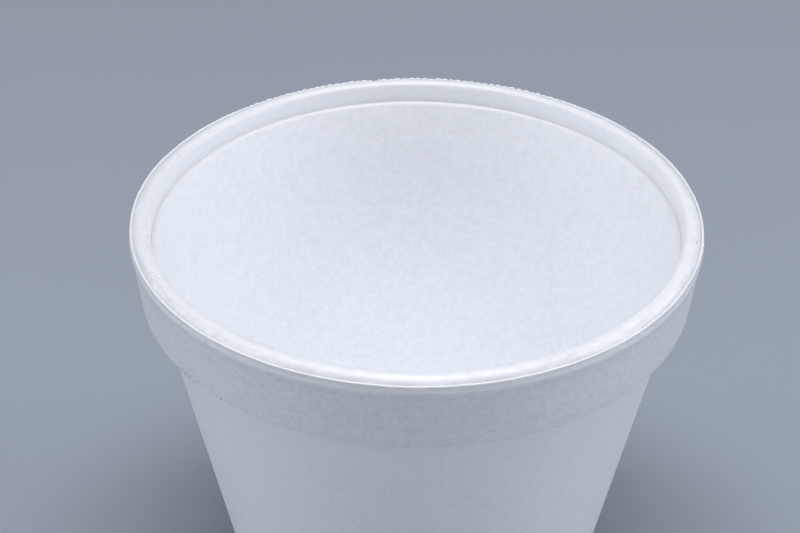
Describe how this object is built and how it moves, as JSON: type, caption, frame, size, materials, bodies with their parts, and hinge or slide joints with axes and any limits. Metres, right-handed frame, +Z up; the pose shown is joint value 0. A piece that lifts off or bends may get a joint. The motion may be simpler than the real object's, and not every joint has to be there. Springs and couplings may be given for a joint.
{
  "type": "foam cup",
  "caption": "Squat white bead-foam cup with a thick collar under its domed lip and a ledge inside, for a hot or cold drink or food.",
  "frame": {"origin": "middle of the foot, on the surface that the cup stands on", "axes": "+Z up along the cup's axis of turning, towards its open mouth; -Y towards the side that the picture shows"},
  "size_m": [0.0922, 0.0922, 0.075],
  "materials": {
    "bead_foam": "white moulded bead foam, satin, with the outlines of the beads showing"
  },
  "bodies": {
    "root": {"foam_cup": "bead_foam"}
  },
  "joints": []
}
